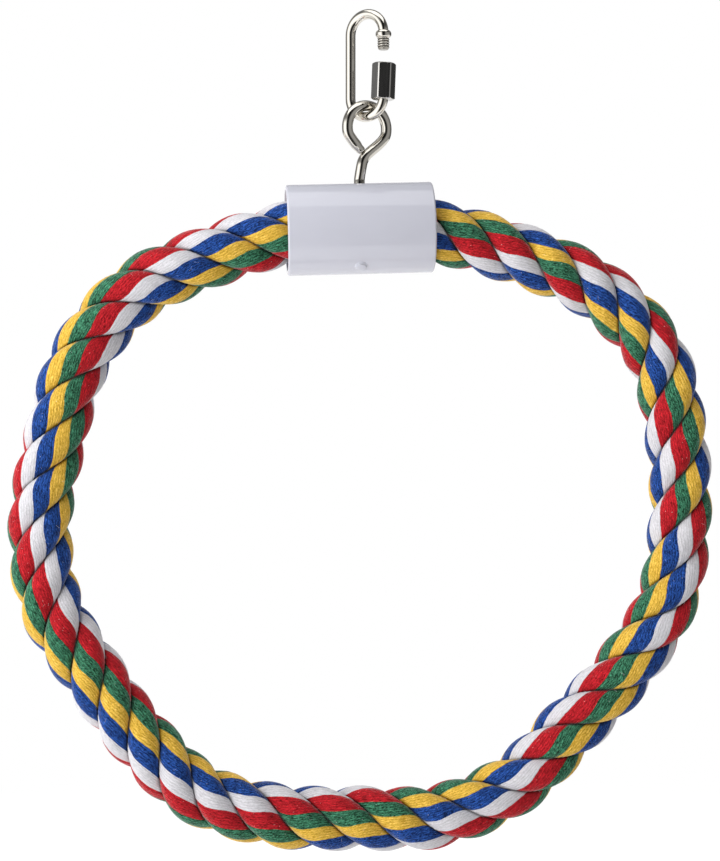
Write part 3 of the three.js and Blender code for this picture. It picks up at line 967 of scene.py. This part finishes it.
def nutFinish():
    finish = Finish("nut_nickel")
    flats = finish.add("ShaderNodeUVMap", {"uv_map": "flats"})
    flatsMiddle, rimAway, rimWidth = nutRims
    toCorner = finish.maths("ABSOLUTE", ((finish.part(flats, 0) * nut["sides"] + 0.5) % 1) - 0.5)
    fromMiddle = finish.maths("ABSOLUTE", finish.part(flats, 1) - flatsMiddle)
    toRim = finish.maths("ABSOLUTE", fromMiddle - rimAway)
    drawn = finish.noise(finish.objectPlace(scale=nutLook["drawn"]), 1.0, 2.0)
    cloud = finish.noise(finish.objectPlace(), nutLook["cloud"], 3.0)
    corners = 1 - finish.stretch(toCorner + cloud * nutLook["cornerFray"], *nutLook["corner"])
    rims = 1 - finish.stretch(toRim, rimWidth * nutLook["rimShare"], rimWidth)
    # corners and rims: partly wear, partly painted highlight
    wornAndHighlit = finish.maths("MAXIMUM", corners, rims)
    colour = finish.mix(wornAndHighlit, finish.mix(drawn, *nutLook["dull"]), nutLook["wornHighlight"])
    rough = nutLook["rough"]
    rough = rough["plain"] + wornAndHighlit * rough["wornAndHighlit"] + cloud * rough["cloud"]
    lines = finish.bump(drawn, nutLook["drawnDepth"])
    return finish.set(Base_Color=colour, Metallic=1.0, Roughness=rough, Normal=lines)


# Pieces that stay as the solids made them
coreLook = {"tones": ((0.32, 0.32, 0.33, 1), (0.45, 0.45, 0.45, 1)), "scale": 400, "rough": (0.35, 0.2)}
tapeLook = {
    "tones": ((0.55, 0.52, 0.45, 1), (0.66, 0.63, 0.56, 1)),
    "weave": (1800, 500, 500),
    "weaveDepth": 0.1 * mm,
    "rough": (0.6, 0.2),
}


def steelFinish():
    finish = Finish("drawn_steel")
    drawn = finish.noise(finish.objectPlace(), coreLook["scale"], 3.0)
    tone = finish.mix(drawn, *coreLook["tones"])
    smooth, more = coreLook["rough"]
    return finish.set(Base_Color=tone, Metallic=1.0, Roughness=smooth + drawn * more)


def tapeFinish():
    finish = Finish("wound_tape")
    weave = finish.noise(finish.objectPlace(scale=tapeLook["weave"]), 1.0, 2.0)
    tone = finish.mix(weave, *tapeLook["tones"])
    smooth, more = tapeLook["rough"]
    relief = finish.bump(weave, tapeLook["weaveDepth"])
    return finish.set(Base_Color=tone, Roughness=smooth + weave * more, Normal=relief)


def dressSolid(node, material):
    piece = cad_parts[node]
    piece.data.materials.clear()
    piece.data.materials.append(material)


# Studio: white floor and backdrop, soft lamps and the camera
studio = {
    "floor": -0.42,
    "size": 3.6,
    "floorMiddle": 1.5,        # behind the object: the floor starts just in front of it
    "backdrop": (0.1, 2.4, 0),
    "backdropSize": 1.7,
    "paper": (0.9, 0.3),       # its grey, and what is added to it where it shows
    "paperEdge": (0.35, 1.0),  # between these distances it fades into plain white
    "ambient": 0.27,           # light from the room
    "ambientBack": 0.10,       # more of it from behind the object
    "ambientRight": 0.22,      # and less from the right
    "ambientEdge": (-0.2, 0.8),
    "mirrored": (              # what gloss shows of the room: bearing, 0.5 in front, more to the right; grey
        (0.0, 0.14), (0.10, 0.20), (0.20, 0.27), (0.225, 0.34), (0.25, 1.25), (0.32, 1.85), (0.39, 1.70),
        (0.430, 0.60), (0.442, 0.010), (0.500, 0.012), (0.505, 0.056), (0.519, 0.056), (0.524, 0.016),
        (0.540, 0.020), (0.570, 0.30), (0.62, 0.42), (0.72, 0.36), (0.78, 0.20), (0.84, 0.05), (1.0, 0.12),
    ),
    "mirroredFade": 0.8,       # of that, what is lost towards the ceiling
    "fadeEdge": (0.25, 0.55),
    "mirroredTop": 0.25,       # paper that bends over the object behind, as gloss shows it
    "topEdge": ((0.20, 0.45), (0.0, 0.5)),   # where it starts, upwards and backwards
    "lamps": (
        ("key_lamp", (-0.92, -0.56, -0.02), (1.9, 1.5), 22.5, False),  # place, size, watts, seen in gloss
        ("top_lamp", (-0.03, -0.18, 0.90), (1.4, 0.9), 6.7, True),
        ("low_lamp", (-0.20, -0.75, -1.05), (1.3, 0.9), 6.6, False),
        ("side_lamp", (1.00, 0.40, -0.10), (0.9, 1.2), 2.6, False),
        ("back_lamp", (0.30, 1.10, 0.20), (1.6, 1.2), 13.0, False),
    ),
}
view = {
    "target": Vector((-2.5, 0, -148.1)) * mm,
    "azimuth": math.radians(-4),
    "distance": 0.78,
    "span": 0.310,             # height that the picture shows at the ring
    "sensor": 36,              # the picture's long side
    "clip": (0.01, 50),
}
plainWhite = (1, 1, 1, 1)


def paperFinish(name, always):
    finish = Finish(name)
    tree = finish.tree
    tree.nodes.remove(finish.shader)
    grey, lift = studio["paper"]
    mirrored = finish.maths("MAXIMUM", finish.ray("Glossy"), finish.ray("Transmission"))
    seen = finish.maths("MAXIMUM", finish.ray("Camera"), mirrored)
    place = finish.add("ShaderNodeTexCoord", None, None, "Object")
    away = finish.add("ShaderNodeVectorMath", {"operation": "LENGTH"}, {0: place}, "Value")
    glow = finish.maths("MAXIMUM", finish.stretch(away, *studio["paperEdge"]), always)
    paper = finish.add("ShaderNodeBsdfDiffuse", None, {"Color": (grey, grey, grey, 1)})
    lifted = finish.add("ShaderNodeEmission", None, {"Color": plainWhite, "Strength": lift})
    lit = finish.add("ShaderNodeAddShader", None, {0: paper, 1: lifted})
    white = finish.add("ShaderNodeEmission", None, {"Color": plainWhite, "Strength": 1.0})
    shown = finish.add("ShaderNodeMixShader", None, {0: glow, 1: lit, 2: white})
    sheet = finish.add("ShaderNodeMixShader", None, {0: seen, 1: paper, 2: shown})
    under = finish.add("ShaderNodeNewGeometry", None, None, "Backfacing")
    clear = finish.add("ShaderNodeBsdfTransparent")
    final = finish.add("ShaderNodeMixShader", None, {0: under, 1: sheet, 2: clear})
    tree.links.new(final.socket, tree.nodes["Material Output"].inputs["Surface"])
    return finish.owner


def layPaper(name, size, middle, turn, always):
    bm = bmesh.new()
    bmesh.ops.create_grid(bm, x_segments=1, y_segments=1, size=size / 2)
    bmesh.ops.transform(bm, matrix=Matrix.Translation(middle) @ turn, verts=bm.verts)
    paper = toScene(name, bm)
    paper.data.materials.append(paperFinish(name, always))


def lightStudio():
    world = bpy.data.worlds.new("studio")
    bpy.context.scene.world = world
    finish = Finish("studio", world)
    direction = finish.add("ShaderNodeTexCoord", None, None, "Generated")
    toRight, toBack, toTop = [finish.part(direction, axis) for axis in range(3)]
    bearing = finish.maths("ARCTAN2", toRight, 0 - toBack) / fullTurn + 0.5     # 0.5 is towards the camera
    stops = [(turn, (grey,) * 3) for turn, grey in studio["mirrored"]]
    reflected = finish.add("ShaderNodeValToRGB", {"stops": stops}, {0: bearing})
    above, behind = studio["topEdge"]
    overBehind = finish.stretch(toTop, *above) * finish.stretch(toBack, *behind)
    wall = 1 - studio["mirroredFade"] * finish.stretch(toTop, *studio["fadeEdge"])
    reflected = reflected * wall + overBehind * studio["mirroredTop"]
    ambient = studio["ambient"] + studio["ambientBack"] * finish.stretch(toBack, *studio["ambientEdge"])
    ambient = ambient - studio["ambientRight"] * finish.stretch(toRight, *studio["ambientEdge"])
    glossy = finish.maths("MAXIMUM", finish.ray("Glossy"), finish.ray("Transmission"))
    camera = finish.ray("Camera")
    background = finish.tree.nodes["Background"]
    strength = camera + (1 - camera) * (glossy * reflected + (1 - glossy) * ambient)
    finish.feed(background.inputs["Strength"], strength)
    finish.feed(background.inputs["Color"], plainWhite)
    for name, place, size, power, mirrored in studio["lamps"]:
        lamp = bpy.data.lights.new(name, "AREA")
        lamp.shape = "RECTANGLE"
        lamp.size, lamp.size_y = size
        lamp.energy = power
        holder = bpy.data.objects.new(name, lamp)
        holder.location = place
        holder.visible_glossy = mirrored
        holder.visible_camera = False
        aim = view["target"] - holder.location
        holder.rotation_euler = aim.to_track_quat("-Z", "Y").to_euler()
        bpy.context.scene.collection.objects.link(holder)


def setCamera():
    lens = bpy.data.cameras.new("camera")
    lens.sensor_width = view["sensor"]
    lens.lens = view["sensor"] * view["distance"] / view["span"]
    lens.clip_start, lens.clip_end = view["clip"]
    camera = bpy.data.objects.new("camera", lens)
    back = Vector((math.sin(view["azimuth"]), -math.cos(view["azimuth"]), 0))
    camera.location = view["target"] + back * view["distance"]
    camera.rotation_euler = (-back).to_track_quat("-Z", "Y").to_euler()
    bpy.context.scene.collection.objects.link(camera)
    bpy.context.scene.camera = camera


setCamera()
bpy.context.scene.view_settings.view_transform = "Standard"
print("camera set")

route = ropeRoute()
print(f"rope route: {route.length / mm:.1f} mm")
strands = layStrands(route, cottonFinish())
strayFibres(strands, lintFinish())

plastic = plasticFinish()
mouldSleeve(plastic)
capScrewTip(plastic)

brightNickel = nickelFinish()
bendEye(brightNickel)
bendLink(brightNickel)
turnNut(nutFinish())

dressSolid("core_wire", steelFinish())
tape = tapeFinish()
dressSolid("end_tape_right", tape)
dressSolid("end_tape_left", tape)
print("pieces dressed")

floorMiddle = Vector((0, studio["floorMiddle"], studio["floor"]))
layPaper("floor", studio["size"], floorMiddle, Matrix.Identity(4), 0.0)
upright = Matrix.Rotation(math.radians(90), 4, "X")
layPaper("backdrop", studio["backdropSize"], Vector(studio["backdrop"]), upright, 1.0)
lightStudio()
print("studio lit")
